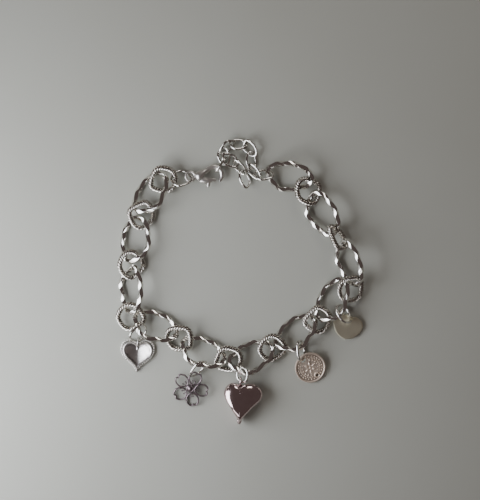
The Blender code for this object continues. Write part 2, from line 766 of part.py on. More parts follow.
def cherry_blossom(name):
    """Five notched petals of wire round a domed centre, each with a pair of stamens."""
    turns = [math.tau * number / BLOSSOM_PETALS for number in range(BLOSSOM_PETALS)]
    bm = bmesh.new()
    for turn in turns:
        spin = Matrix.Rotation(turn, 3, "Z")
        outline = [spin @ point for point in petal_outline(0)]
        hole = [spin @ point for point in petal_outline(BLOSSOM_WIRE)]
        petal = bmesh.new()
        prism(petal, outline, 0, BLOSSOM_THICKNESS, [hole])
        bm = combined(bm, petal, "UNION") if len(bm.verts) else petal
    rest = bmesh.new()
    for turn in turns:
        for side in (-1, 1):
            spin = Matrix.Rotation(turn + side * math.radians(STAMEN_SPREAD), 3, "Z")
            half = STAMEN_WIDTH / 2
            root = BLOSSOM_CENTRE * STAMEN_ROOT
            bar = [(root, -half), (STAMEN_LENGTH, -half), (STAMEN_LENGTH, half), (root, half)]
            bar = [spin @ Vector((x, y, 0)) for x, y in bar]
            prism(rest, bar, BLOSSOM_THICKNESS / 4, BLOSSOM_THICKNESS * 3 / 4)
    bm = combined(bm, rest, "UNION")
    centre = bmesh.new()
    edge = round_outline(BLOSSOM_CENTRE, CENTRE_STEPS)
    capped(centre, [
        raised(edge, 1, CENTRE_LIFT),
        raised(edge, 1, BLOSSOM_THICKNESS),
        raised(edge, CENTRE_TOP, BLOSSOM_THICKNESS * CENTRE_RISE),
    ])
    return finished(name, combined(bm, centre, "UNION"), CAST), []


CHARM_MAKERS = {
    "beaded_heart": beaded_heart,
    "cherry_blossom": cherry_blossom,
    "puffy_heart": puffy_heart,
    "coin_disc": coin_disc,
    "plain_heart": plain_heart,
}


def main():
    for item in list(bpy.data.objects):
        bpy.data.objects.remove(item)
    pieces = []
    for spot in CHAIN:
        if spot.name.startswith("oval"):
            piece = oval_link(spot.name)
            balls = wire_balls(oval_path(OVAL_LENGTH, OVAL_WIDTH, OVAL_WIRE, OVAL_BALLS), OVAL_WIRE)
        else:
            piece = round_ring(spot.name, RING_ACROSS, RING_WIRE, RING_STEPS)
            balls = wire_balls(round_path(RING_ACROSS, RING_WIRE, RING_BALLS), RING_WIRE)
        pieces.append(Lying(piece, spot, balls))
    for spot in EXTENDER:
        length, width = (TAIL_LENGTH, TAIL_WIDTH)
        if spot.name == "joiner_link":
            length, width = (JOINER_LENGTH, JOINER_WIDTH)
        piece = plain_link(spot.name, length, width, TAIL_WIRE, TAIL_STEPS)
        balls = wire_balls(oval_path(length, width, TAIL_WIRE, TAIL_BALLS), TAIL_WIRE)
        pieces.append(Lying(piece, spot, balls))
    for spot in RINGS:
        across = LONG_JUMP_ACROSS if spot.name in LONG_RINGS else JUMP_ACROSS
        piece = round_ring(spot.name, across, JUMP_WIRE, JUMP_STEPS)
        pieces.append(Lying(piece, spot, wire_balls(round_path(across, JUMP_WIRE, TAIL_BALLS), JUMP_WIRE)))
    for spot in CHARMS:
        piece, lines = CHARM_MAKERS[spot.name](spot.name)
        give = 0 if spot == RESTING else CHARM_GIVE
        pieces.append(Lying(piece, spot, np.vstack([skin_balls(piece), *lines]), give))
    clasp, lines = clasp_body(CLASP.name)
    pieces.append(Lying(clasp, CLASP, np.vstack([skin_balls(clasp), *lines]), 0))
    settled(pieces)
    lever = clasp_lever("clasp_lever")
    turn = Matrix.Rotation(math.radians(CLASP.heading), 4, "Z")
    middle = CLASP.lift + CLASP_THICKNESS / 2
    lever.location = (Vector((CLASP.x, CLASP.y, 0)) + turn @ Vector((PIN_PLACE, PIN_ASIDE, middle))) * MM
    lever.rotation_euler = (0, 0, math.radians(CLASP.heading))
    bpy.context.view_layer.update()
    corners = [item.matrix_world @ corner.co for item in bpy.data.objects for corner in item.data.vertices]
    for axis in (0, 1):
        middle = (min(point[axis] for point in corners) + max(point[axis] for point in corners)) / 2
        for item in bpy.data.objects:
            item.location[axis] -= middle


main()
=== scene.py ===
# %% [markdown]
# # A silver-toned charm bracelet on a pale table
# The bracelet lies nearly flat and is seen from straight above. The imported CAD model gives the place
# and size of all its pieces. This script makes a finer version of each one where its CAD node lies,
# gives it the finish of plated metal, and lights it as daylight from a window on the left would.

import math
from contextlib import contextmanager

import bmesh
import bpy
import numpy as np
from mathutils import Euler, Matrix, Vector


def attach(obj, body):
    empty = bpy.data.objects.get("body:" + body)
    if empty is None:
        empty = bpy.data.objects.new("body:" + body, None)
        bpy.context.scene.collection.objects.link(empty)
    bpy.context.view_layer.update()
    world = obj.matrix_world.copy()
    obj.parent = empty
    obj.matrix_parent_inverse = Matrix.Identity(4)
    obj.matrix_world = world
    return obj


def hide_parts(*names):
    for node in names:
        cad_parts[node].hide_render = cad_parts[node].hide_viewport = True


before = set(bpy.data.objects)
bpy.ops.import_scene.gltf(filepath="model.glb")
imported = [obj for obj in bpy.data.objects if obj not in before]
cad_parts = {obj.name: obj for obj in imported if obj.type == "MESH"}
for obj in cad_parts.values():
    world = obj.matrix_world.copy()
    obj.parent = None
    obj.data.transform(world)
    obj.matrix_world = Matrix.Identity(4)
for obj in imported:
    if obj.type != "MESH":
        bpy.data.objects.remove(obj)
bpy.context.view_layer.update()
MM = 0.001
print("CAD nodes:", len(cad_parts))

# %% [markdown]
# ## Camera
# The photograph was taken from above with the phone held flat. A long lens at 60 cm keeps that view
# almost free of perspective. A render taller than wide takes the sensor's size along its height.

# %% Camera
VIEW_HEIGHT = 152.5 * MM
CAMERA_HEIGHT = 600 * MM
SENSOR = 36
bpy.ops.object.camera_add(location=(-0.13 * MM, 9.55 * MM, CAMERA_HEIGHT), rotation=(0, 0, 0))
camera = bpy.context.object
camera.data.sensor_width = SENSOR
camera.data.lens = SENSOR * CAMERA_HEIGHT / VIEW_HEIGHT
bpy.context.scene.camera = camera
print("lens:", round(camera.data.lens, 1), "mm")

# %% [markdown]
# ## Helpers for modelling by hand
# Operators act on what is selected, so each step first selects its own piece alone. In edit mode the
# corners, edges or faces that a step needs are picked by their place.


# %% Selecting and editing
def only(*pieces):
    """Selects these pieces alone, the first one as the active one."""
    bpy.ops.object.select_all(action="DESELECT")
    for piece in pieces:
        piece.select_set(True)
    bpy.context.view_layer.objects.active = pieces[0]


@contextmanager
def edited(piece):
    """Opens a piece in edit mode for as long as the block lasts."""
    only(piece)
    bpy.ops.object.mode_set(mode="EDIT")
    yield bmesh.from_edit_mesh(piece.data)
    bpy.ops.object.mode_set(mode="OBJECT")


def pick(kind, test):
    """Selects the verts, edges or faces that pass a test, and nothing else."""
    bpy.ops.mesh.select_mode(type={"verts": "VERT", "edges": "EDGE", "faces": "FACE"}[kind])
    bpy.ops.mesh.select_all(action="DESELECT")
    mesh = bpy.context.object.data
    bm = bmesh.from_edit_mesh(mesh)
    for item in getattr(bm, kind):
        if test(item):
            item.select_set(True)
    bmesh.update_edit_mesh(mesh)


def applied(piece, kind, **settings):
    """Adds one modifier with its settings and applies it."""
    only(piece)
    modifier = piece.modifiers.new(kind.lower(), kind)
    for name, value in settings.items():
        setattr(modifier, name, value)
    bpy.ops.object.modifier_apply(modifier=modifier.name)


def joined(name, pieces):
    """Joins pieces into the first one, with its own name and all places in its mesh."""
    only(*pieces)
    if len(pieces) > 1:
        bpy.ops.object.join()
    bpy.ops.object.transform_apply(location=True, rotation=True, scale=True)
    pieces[0].name = name
    return pieces[0]


def added(kind, **settings):
    """Adds a mesh primitive with nothing else selected and puts its place into its mesh."""
    bpy.ops.object.select_all(action="DESELECT")
    getattr(bpy.ops.mesh, "primitive_" + kind + "_add")(**settings)
    bpy.ops.object.transform_apply(location=True, rotation=True, scale=True)
    return bpy.context.object


def finished(piece, smooth_under=40):
    """Closes seams, turns the normals out and smooths what isn't a real edge."""
    with edited(piece):
        bpy.ops.mesh.select_all(action="SELECT")
        bpy.ops.mesh.remove_doubles(threshold=0.002 * MM)
        bpy.ops.mesh.normals_make_consistent(inside=False)
    only(piece)
    bpy.ops.object.shade_smooth_by_angle(angle=math.radians(smooth_under))
    print(piece.name, "has", len(piece.data.polygons), "faces")
    return piece


# %% [markdown]
# ## Metals
# All the pieces are plated alloy in a white metal tone. Polished wire shows clean reflections, a faint
# haze and small dents. Cast charms are a little rougher. What makes them read as metal is what they
# reflect, so the colours stay near a real plating's. Their roughness, grain and the painted shade, in
# spots of dull film, in their grooves differ. The puffy heart has a rosy tint and the plain heart an olive
# one, both painted reflections of the room; the disc has a warm cast, and the blossom is darker.


# %% Node and colour helpers
def linear(hex_colour):
    """An sRGB hex colour as linear RGBA."""
    values = [int(hex_colour[start:start + 2], 16) / 255 for start in (1, 3, 5)]
    return (*[v / 12.92 if v <= 0.04045 else ((v + 0.055) / 1.055) ** 2.4 for v in values], 1)


def put(tree, kind, inputs=None, **settings):
    """Adds one node with its own settings; an input is a value or another node's output."""
    item = tree.nodes.new(kind)
    for name, value in settings.items():
        setattr(item, name, value)
    for name, source in (inputs or {}).items():
        if isinstance(source, bpy.types.NodeSocket):
            tree.links.new(source, item.inputs[name])
        else:
            item.inputs[name].default_value = source
    return item


def per_mm(size):
    """The texture scale whose pattern repeats about once in a size in millimetres."""
    return 1 / (size * MM)


# the sizes of the patterns in millimetres: cloudy haze, spots of film that break up the painted groove shade,
# and scratches across, along and deep
HAZE_MM = 2.4
SPECKLE_MM = 0.5
SCRATCH_MM = (0.12, 2.0, 0.12)
SCRATCH_TURN = 0.6
SCRATCH_SHARE = 0.25
HAZE_LOW = 0.3
HAZE_HIGH = 0.7
GRAIN_STRENGTH = 0.6


def plated(name, bright, dull, film_and_groove_shade, smooth, rough, grain_size, grain_depth, groove_shade_end=0.44):
    """A plated metal: a polishing haze, a fine grain, tiny scratches and painted shade in its grooves, broken
    into spots of dull film.

    This darkening is full where the pointiness, 0.5 on flat metal, falls to the end given for it.
    """
    material = bpy.data.materials.new(name)
    material.use_nodes = True
    tree = material.node_tree
    shader = tree.nodes["Principled BSDF"]
    place = put(tree, "ShaderNodeTexCoord").outputs["Object"]
    haze = put(tree, "ShaderNodeTexNoise", {"Vector": place, "Scale": per_mm(HAZE_MM), "Detail": 4})
    tone = put(tree, "ShaderNodeMix", {0: haze.outputs["Fac"], 6: linear(bright), 7: linear(dull)},
               data_type="RGBA")
    form = put(tree, "ShaderNodeNewGeometry")
    # painted shade: grooves, where the pointiness is low, get the dark colour, broken into spots by a fine
    # noise
    groove_shade_mask = put(tree, "ShaderNodeMapRange",
                 {"Value": form.outputs["Pointiness"], "From Min": 0.5, "From Max": groove_shade_end})
    speckle = put(tree, "ShaderNodeTexNoise", {"Vector": place, "Scale": per_mm(SPECKLE_MM), "Detail": 2})
    groove_shade_spots = put(tree, "ShaderNodeMath", {0: groove_shade_mask.outputs["Result"], 1: speckle.outputs["Fac"]},
                 operation="MULTIPLY")
    colour = put(tree, "ShaderNodeMix", {0: groove_shade_spots.outputs[0], 6: tone.outputs[2], 7: linear(film_and_groove_shade)},
                 data_type="RGBA")
    polish = put(tree, "ShaderNodeMapRange",
                 {"Value": haze.outputs["Fac"], "From Min": HAZE_LOW, "From Max": HAZE_HIGH,
                  "To Min": smooth, "To Max": rough})
    grain = put(tree, "ShaderNodeTexNoise", {"Vector": place, "Scale": per_mm(grain_size), "Detail": 3})
    scratched = put(tree, "ShaderNodeMapping",
                    {"Vector": place, "Rotation": (0, 0, SCRATCH_TURN),
                     "Scale": tuple(per_mm(size) for size in SCRATCH_MM)})
    scratches = put(tree, "ShaderNodeTexNoise", {"Vector": scratched.outputs[0], "Scale": 1, "Detail": 1})
    wear = put(tree, "ShaderNodeMath", {0: scratches.outputs["Fac"], 1: SCRATCH_SHARE},
               operation="MULTIPLY")
    uneven = put(tree, "ShaderNodeMath", {0: grain.outputs["Fac"], 1: wear.outputs[0]}, operation="ADD")
    bump = put(tree, "ShaderNodeBump", {"Height": uneven.outputs[0], "Strength": GRAIN_STRENGTH,
                                        "Distance": grain_depth * MM})
    tree.links.new(colour.outputs[2], shader.inputs["Base Color"])
    tree.links.new(polish.outputs["Result"], shader.inputs["Roughness"])
    tree.links.new(bump.outputs["Normal"], shader.inputs["Normal"])
    shader.inputs["Metallic"].default_value = 1
    return material


# %% The finishes
# Rhodium-toned plating over drawn and polished brass wire: nearly a mirror, with a soft haze
polished_wire = plated("rhodium_plated_wire_polished", "#E4E2DD", "#CFCBC4", "#6E665F",
                       smooth=0.06, rough=0.16, grain_size=0.9, grain_depth=0.02)
# The same wire laid as rope has dark painted shade, in spots of film, between its strands
polished_rope = plated("rhodium_plated_rope_polished", "#D6D2CC", "#BDB7AF", "#2B2623",
                       smooth=0.1, rough=0.2, grain_size=0.9, grain_depth=0.02, groove_shade_end=0.475)
# The same plating on the puffy heart: a smooth mirror whose colour is tinted rosy, a painted maroon
# reflection of the room
polished_shell = plated("rhodium_shell_mirror_painted_rosy_reflection", "#DCCCCB", "#C6AFAE", "#5A4445",
                        smooth=0.09, rough=0.16, grain_size=2.2, grain_depth=0.02)
# Nickel-toned plating over a fine zinc casting: soft gloss over a faint grain
cast_metal = plated("nickel_plated_zinc_casting", "#E4E1DC", "#CFCAC3", "#5E564F",
                    smooth=0.28, rough=0.38, grain_size=0.35, grain_depth=0.03)
# The blossom has a darker, antiqued nickel plating, with painted shade in all its grooves
antique_metal = plated("antiqued_nickel_plating", "#8F8284", "#6E6266", "#2F2829",
                       smooth=0.22, rough=0.36, grain_size=0.35, grain_depth=0.03)
# The beaded heart is the same casting with a softer, brushed gloss and near-black painted shade in its
# grooves
brushed_metal = plated("brushed_nickel_plated_casting", "#E6E3DF", "#CFCAC4", "#1F1A17",
                       smooth=0.27, rough=0.37, grain_size=0.35, grain_depth=0.03, groove_shade_end=0.485)
# The coin disc is struck from nickel brass, whose satin plating keeps a little warmth
struck_metal = plated("satin_plated_nickel_brass", "#F3E6D9", "#DCCBBA", "#66584C",
                      smooth=0.5, rough=0.62, grain_size=0.3, grain_depth=0.03)
# The plain heart is rolled sheet with a satin polish, which spreads what it reflects to one even tone; its
# olive tint is a painted reflection of the room
satin_sheet = plated("satin_plated_sheet_painted_olive_reflection", "#D6D0BA", "#CAC3AC", "#7A7264",
                     smooth=0.4, rough=0.48, grain_size=1.6, grain_depth=0.01)
print("materials:", len(bpy.data.materials))


# %% [markdown]
# ## Where each piece lies
# A link's node is a closed tube, so its middle and its longest, middle and flattest directions, which
# come from its corners, tell where it lies. A charm has no such symmetry, so its place and turn are in
# a short table, in millimetres and degrees.


# %% Lies
def link_lie(node):
    """The place and turn of a link: X along it and Z square to its loop."""
    corners = np.array([corner.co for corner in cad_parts[node].data.vertices])
    corners = np.unique(np.round(corners, 6), axis=0)
    middle = corners.mean(axis=0)
    ways = np.linalg.eigh(np.cov((corners - middle).T))[1]
    along = Vector(ways[:, 2])
    flat = Vector(ways[:, 0])
    if flat.z < 0:
        flat.negate()
    aside = flat.cross(along)
    lie = Matrix((along, aside, flat)).transposed().to_4x4()
    lie.translation = Vector(middle)
    return lie


# node: place x, y, z and turn about x, y, z
CHARM_LIES = {
    "beaded_heart": (-31.366, -22.666, 0.0, 0.0, 0.0, -2.62),
    "cherry_blossom": (-15.214, -32.507, 1.091, 0.0, -12.0, 64.0),
    "puffy_heart": (-0.077, -37.123, -0.032, 0.36, -1.91, -1.93),
    "coin_disc": (21.173, -26.109, 1.138, -2.35, -13.52, 133.3),
    "plain_heart": (32.486, -14.507, 0.0, 0.0, 0.0, -13.0),
    "clasp_body": (-17.014, 31.793, 0.4, 0.0, 0.0, 4.0),
    "clasp_lever": (-12.376, 31.416, 1.9, 0.0, 0.0, 4.0),
}


def charm_lie(node):
    x, y, z, *turns = CHARM_LIES[node]
    turn = Euler([math.radians(value) for value in turns]).to_matrix().to_4x4()
    return Matrix.Translation(Vector((x, y, z)) * MM) @ turn


def set_down(pattern, node, lie, material, body="bracelet"):
    """Lays a copy of a finished pattern where its CAD node lies, in that node's place."""
    piece = pattern.copy()
    piece.data = pattern.data.copy()
    piece.name = node + "_fine"
    piece.data.name = piece.name
    bpy.context.collection.objects.link(piece)
    piece.data.transform(lie)
    piece.data.materials.clear()
    piece.data.materials.append(material)
    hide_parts(node)
    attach(piece, body)
    return piece


print("longest link axis at", [round(v, 4) for v in link_lie("oval_link_01").translation])

# %% [markdown]
# ## Wire
# Every link starts as straight wire. A short slice is made from a circle, repeated along X with an
# array, twisted where the real wire is twisted, and bent along a curve until its ends meet. This is
# close to how a jeweller makes it, and the twist stays even round the bends.


# %% Paths and wire
ROUND_HANDLE = 0.5523


def path_of(half_long, half_wide, handle=ROUND_HANDLE):
    """A closed curve for bending wire: a circle or a full oval, by how long its handles are."""
    bpy.ops.object.select_all(action="DESELECT")
    bpy.ops.curve.primitive_bezier_circle_add(radius=1)
    path = bpy.context.object
    path.data.dimensions = "3D"
    path.data.twist_mode = "Z_UP"
    path.data.resolution_u = 40
    for knot in path.data.splines[0].bezier_points:
        knot.handle_left_type = "FREE"
        knot.handle_right_type = "FREE"
        here = knot.co.copy()
        for side in ("handle_left", "handle_right"):
            offset = (getattr(knot, side) - here) * handle / ROUND_HANDLE
            moved = here + offset
            setattr(knot, side, Vector((moved.x * half_long, moved.y * half_wide, 0)))
        knot.co = (here.x * half_long, here.y * half_wide, 0)
    return path


def straight_wire(name, sides, radius, slices, length, strands=1, reach=0.0, corner=0.0):
    """Straight wire along X of so many slices: one strand, or several round the middle at a reach."""
    rings = []
    for strand in range(strands):
        turn = math.tau * strand / strands
        place = (0, reach * math.cos(turn), reach * math.sin(turn))
        rings.append(added("circle", vertices=sides, radius=radius, location=place,
                           rotation=(0, math.pi / 2, 0)))
    wire = joined(name, rings)
    step = length / slices
    with edited(wire):
        bpy.ops.mesh.select_all(action="SELECT")
        bpy.ops.mesh.extrude_region_move(TRANSFORM_OT_translate={"value": (step, 0, 0)})
        if corner:
            pick("edges", lambda edge: abs(edge.verts[0].co.x - edge.verts[1].co.x) > step / 2)
            bpy.ops.mesh.bevel(offset=corner, segments=2, affect="EDGES")
    applied(wire, "ARRAY", count=slices, use_relative_offset=False, use_constant_offset=True,
            constant_offset_displace=(step, 0, 0), use_merge_vertices=True, merge_threshold=0.001 * MM)
    return wire


def bent(wire, path, turns=0):
    """Twists wire by whole turns and bends it round a closed path."""
    if turns:
        applied(wire, "SIMPLE_DEFORM", deform_method="TWIST", deform_axis="X", angle=math.tau * turns)
    applied(wire, "CURVE", object=path, deform_axis="POS_X")
    bpy.data.objects.remove(path)
    return wire


# %% [markdown]
# ## Twisted oval links
# The big links are square wire with slightly rounded corners, twisted two whole turns and bent to a full
# oval. Each flat side winds round the link, so it flashes once in every half turn, and that gives the
# row of long bright facets.

# %% Oval link
OVAL_LENGTH = 15.2 * MM
OVAL_WIDTH = 10.3 * MM
OVAL_WIRE = 1.8 * MM
OVAL_HANDLE = 0.64
OVAL_TURNS = 2
OVAL_COUNT = 11
OVAL_SLICES = 128
OVAL_CORNER = 0.14 * MM
path = path_of((OVAL_LENGTH - OVAL_WIRE) / 2, (OVAL_WIDTH - OVAL_WIRE) / 2, OVAL_HANDLE)
run = path.data.splines[0].calc_length()
wire = straight_wire("oval_pattern", 4, OVAL_WIRE / 2, OVAL_SLICES, run, corner=OVAL_CORNER)
oval = finished(bent(wire, path, -OVAL_TURNS))
for number in range(1, OVAL_COUNT + 1):
    node = f"oval_link_{number:02d}"
    set_down(oval, node, link_lie(node), polished_wire)
print("an oval link takes", round(run / MM, 1), "mm of wire")

# %% [markdown]
# ## Rope rings
# The round rings are fine rope: four strands laid together. Four thin tubes side by side, twisted seven
# turns and bent to a circle, give the 28 fine ridges. A bump map would look flat at the ring's edge.

# %% Rope ring
RING_ACROSS = 9.5 * MM
RING_WIRE = 1.7 * MM
STRANDS = 4
ROPE_TURNS = 7
RING_COUNT = 11
STRAND_FIT = 0.98
STRAND_SIDES = 8
SLICES_PER_TURN = 28
strand_radius = RING_WIRE / 2 / (1 + math.sqrt(2))
ring_reach = (RING_ACROSS - RING_WIRE) / 2
path = path_of(ring_reach, ring_reach)
run = path.data.splines[0].calc_length()
strand_reach = RING_WIRE / 2 - strand_radius
slices = SLICES_PER_TURN * ROPE_TURNS
wire = straight_wire("rope_pattern", STRAND_SIDES, strand_radius * STRAND_FIT, slices, run, STRANDS,
                     strand_reach)
rope = finished(bent(wire, path, -ROPE_TURNS), smooth_under=60)
for number in range(1, RING_COUNT + 1):
    node = f"rope_ring_{number:02d}"
    set_down(rope, node, link_lie(node), polished_rope)

# %% [markdown]
# ## Plain links and jump rings
# The extender's small links and the jump rings are round wire. A jump ring has a fine cut where it is
# opened and closed, so its wire is a hair shorter than its path and has flat ends.

# %% Plain links
SMALL_SIDES = 12
SMALL_WIRE = 0.75 * MM
JUMP_WIRE = 0.8 * MM
JUMP_CUT = 0.05 * MM
EXTENDER_COUNT = 10


def plain_loop(name, across, width, wire_across, slices, handle=ROUND_HANDLE, cut=0.0):
    """A link of round wire, closed, or with a fine cut of some width."""
    path = path_of((across - wire_across) / 2, (width - wire_across) / 2, handle)
    run = path.data.splines[0].calc_length() - cut
    wire = straight_wire(name, SMALL_SIDES, wire_across / 2, slices, run)
    if cut:
        with edited(wire):
            pick("edges", lambda edge: edge.is_boundary)
            bpy.ops.mesh.fill_holes(sides=0)
    return finished(bent(wire, path))


small = plain_loop("small_link_pattern", 6.0 * MM, 4.2 * MM, SMALL_WIRE, 64, OVAL_HANDLE, cut=0.04 * MM)
joiner = plain_loop("joiner_pattern", 6.4 * MM, 4.6 * MM, SMALL_WIRE, 64, OVAL_HANDLE)
short_jump = plain_loop("short_jump_pattern", 5.6 * MM, 5.6 * MM, JUMP_WIRE, 72, cut=JUMP_CUT)
long_jump = plain_loop("long_jump_pattern", 7.0 * MM, 7.0 * MM, JUMP_WIRE, 72, cut=JUMP_CUT)
for number in range(1, EXTENDER_COUNT + 1):
    node = f"extender_link_{number:02d}"
    set_down(small, node, link_lie(node), polished_wire)
set_down(joiner, "joiner_link", link_lie("joiner_link"), polished_wire)
set_down(short_jump, "puffy_heart_ring", link_lie("puffy_heart_ring"), polished_wire)
for node in ("clasp_ring", "beaded_heart_ring", "blossom_ring", "disc_ring", "plain_heart_ring"):
    set_down(long_jump, node, link_lie(node), polished_wire)

# %% [markdown]
# ## Shapes swept from a ring of corners
# The charms and the clasp start as one ring of corners. The ring is extruded again and again, and each
# new ring is moved to its own size and height, as one would with E, S and G. A heart is a circle whose
# corners are first moved onto the heart curve.


# %% Extruding a ring
# shares of a heart's height: where its waist is, how far it spreads, and how far up its tip can be blunted
WAIST_PLACE = 0.36
WAIST_SPREAD = 0.2
BLUNT_REACH = 0.35
# the round a softened heart goes towards, as a share of its width
ROUND_REACH = 0.45


def grown(piece, moves):
    """Extrudes the piece's one open ring once for each move, which gives a corner its new place."""
    with edited(piece):
        pick("edges", lambda edge: True)
        for move in moves:
            bpy.ops.mesh.extrude_region_move()
            bm = bmesh.from_edit_mesh(piece.data)
            for corner in bm.verts:
                if corner.select:
                    corner.co = move(corner.co)
            bmesh.update_edit_mesh(piece.data)
        pick("edges", lambda edge: edge.is_boundary)
        bpy.ops.mesh.fill_holes(sides=0)
    return piece


def profiled(piece, rows):
    """Grows a flat ring through rows of share and height in millimetres; the first row is the start."""
    first = rows[0]
    for corner in piece.data.vertices:
        corner.co = (corner.co.x * first[0], corner.co.y * first[0], first[1] * MM)
    moves = []
    for (share, height), (next_share, next_height) in zip(rows, rows[1:]):
        factor = next_share / share
        rise = (next_height - height) * MM
        moves.append(lambda co, factor=factor, rise=rise: Vector((co.x * factor, co.y * factor, co.z + rise)))
    return grown(piece, moves)


def heart_point(turn, width, height, bias=0.0, fill=0.0):
    """The classic heart curve by the turn from its notch at +Y; bias widens the right lobe."""
    across = 16 * math.sin(turn) ** 3 / 32
    along = 13 * math.cos(turn) - 5 * math.cos(2 * turn) - 2 * math.cos(3 * turn) - math.cos(4 * turn)
    along = (along + 2.5) / 29 + fill * max(math.cos(turn), 0) ** 6
    return Vector((across * width * (1 + math.copysign(bias, across)), along * height, 0))


def waisted(place, height, waist):
    """Draws the lower flanks of a heart in by a share, or swells them where it is negative."""
    above_tip = place.y / height + 0.5
    drawn = waist * math.exp(-((above_tip - WAIST_PLACE) / WAIST_SPREAD) ** 2)
    return Vector((place.x * (1 - drawn), place.y, place.z))


def heart_ring(name, corners, *shape, softened=0.0, waist=0.0, blunt=0.0):
    """A heart of so many corners.

    softened brings it nearer to a round, waist draws its flanks in, and blunt flattens its tip.
    """
    ring = added("circle", vertices=corners, radius=1)
    ring.name = name
    width, height = shape[:2]
    for corner in ring.data.vertices:
        place = heart_point(math.atan2(corner.co.x, corner.co.y), *shape)
        place *= 1 + softened * (width * ROUND_REACH / place.length - 1)
        place.y += blunt * height * max(1 - (place.y / height + 0.5) / BLUNT_REACH, 0) ** 2
        corner.co = waisted(place, height, waist)
    return ring


# %% [markdown]
# ## Charm eyes
# Each heart hangs from a small round eye that stands upright on a short neck at the heart's notch.

# %% Eye on its neck
EYE_ACROSS = 3.0 * MM
EYE_WIRE = 0.6 * MM
NECK_WIDTH = 0.9 * MM
NECK_ROUNDING = 0.2 * MM
HEART_NOTCH = 0.26
# from the notch, in eye reaches: to the eye's middle, and to the neck's end
EYE_PLACE = 1.4
NECK_END = 0.65


def hung(name, charm, notch, middle, neck_height, facing):
    """Joins a neck and an upright eye to a charm; the eye's hole faces so many degrees from +X."""
    reach = (EYE_ACROSS - EYE_WIRE) / 2
    eye_place = (0, notch + reach * EYE_PLACE, max(middle, EYE_ACROSS / 2))
    eye = added("torus", major_segments=40, minor_segments=14, major_radius=reach, minor_radius=EYE_WIRE / 2,
                location=eye_place, rotation=(0, math.pi / 2, math.radians(facing)))
    far = notch + reach * NECK_END
    near = notch - NECK_WIDTH
    neck = added("cube", size=1, location=(0, (near + far) / 2, middle),
                 scale=(NECK_WIDTH, far - near, neck_height))
    with edited(neck):
        bpy.ops.mesh.select_all(action="SELECT")
        bpy.ops.mesh.bevel(offset=NECK_ROUNDING, segments=3, affect="EDGES")
    return finished(joined(name, [charm, eye, neck]))


# %% [markdown]
# ## The beaded heart
# A flat plate carries a smooth raised rim, with a row of small beads outside it. Inside the rim the face
# slopes down from both sides to a valley line, steeper near it, so one half catches the window.

# %% Beaded heart
BEADED = (10.6 * MM, 10.2 * MM)
BEADED_FLANK = -0.08
BEAD_COUNT = 48
BEAD_ACROSS = 0.62 * MM
BEAD_LINE = 0.94
BEAD_HEIGHT = 0.9 * MM
OUTLINE_STEPS = 720
RIM_INSIDE = 0.715
VALLEY = 0.26 * MM
DISH_RISE = 1.16 * MM
DISH_POWER = 0.8
VALLEY_SOFT = 0.5 * MM
# share of the outline and height in millimetres; the dish's rows start at one height and then sink
DISH_START = 1.0
rows = [(0.9, 0.0), (0.975, 0.12), (0.985, 0.3), (0.975, 0.55), (0.93, 0.68), (0.875, 0.72),
        (0.862, 0.95), (0.855, 1.3), (0.838, 1.5), (0.81, 1.58), (0.775, 1.58), (0.748, 1.5),
        (0.73, 1.45), (RIM_INSIDE, 1.42)]
dish = [(share, DISH_START) for share in (0.69, 0.6, 0.5, 0.4, 0.3, 0.2, 0.1, 0.02)]
plate = profiled(heart_ring("beaded_pattern", 144, *BEADED, waist=BEADED_FLANK), rows + dish)
half_dish = BEADED[0] / 2 * RIM_INSIDE
for corner in plate.data.vertices:
    if abs(corner.co.z - DISH_START * MM) < 0.001 * MM:
        aside = math.hypot(corner.co.x, VALLEY_SOFT) / half_dish
        bowl = min((corner.co.x ** 2 + corner.co.y ** 2) / half_dish ** 2, 1)
        corner.co.z = VALLEY + DISH_RISE * (aside ** DISH_POWER + bowl) / 2
outline = []
for step in range(OUTLINE_STEPS + 1):
    place = heart_point(math.tau * step / OUTLINE_STEPS, *BEADED)
    outline.append(waisted(place, BEADED[1], BEADED_FLANK) * BEAD_LINE)
spans = [(far - near).length for near, far in zip(outline, outline[1:])]
reached = np.concatenate([[0], np.cumsum(spans)])
beads = []
for number in range(BEAD_COUNT):
    step = int(np.searchsorted(reached, reached[-1] * (number + 0.5) / BEAD_COUNT))
    place = outline[step] + Vector((0, 0, BEAD_HEIGHT))
    beads.append(added("ico_sphere", subdivisions=3, radius=BEAD_ACROSS / 2, location=place))
beaded = joined("beaded_pattern", [plate, *beads])
beaded = hung("beaded_pattern", beaded, BEADED[1] * HEART_NOTCH, middle=0.4 * MM, neck_height=0.56 * MM,
              facing=0)
set_down(beaded, "beaded_heart", charm_lie("beaded_heart"), brushed_metal)

# %% [markdown]
# ## The puffy heart
# The biggest charm is a swelled heart. Its rings follow a half circle with full shoulders in section, from
# a small flat at the back to a small flat on top. A stamped shell has its heart shape at the edge only, so
# each ring nearer the middle is rounder, and the notch and the tip fade out instead of leaving a crease. The
# tip itself is drawn out to a small blunt nose.

# %% Puffy heart
PUFFY = (12.0 * MM, 12.6 * MM, 0.165, 0.15)
PUFFY_THICKNESS = 6.0
ROUND_MIDDLE = 5.5 * MM
SHOULDER = 0.68
PUFFY_WAIST = 0.2
PUFFY_RINGS = 24
# the half circle's share that each small flat takes, and how fast the rings turn round towards the middle
PUFFY_FLAT = 0.06
ROUNDING = 1.5
TIP_PLACE = -4.75 * MM
TIP_SIZE = (0.8 * MM, 1.5 * MM, 0.9 * MM)
swelled = heart_ring("puffy_pattern", 120, *PUFFY, waist=PUFFY_WAIST)
edge = sorted((math.atan2(corner.co.y, corner.co.x), corner.co.length) for corner in swelled.data.vertices)
edge_turns = [turn for turn, far in edge]
edge_reach = [far for turn, far in edge]


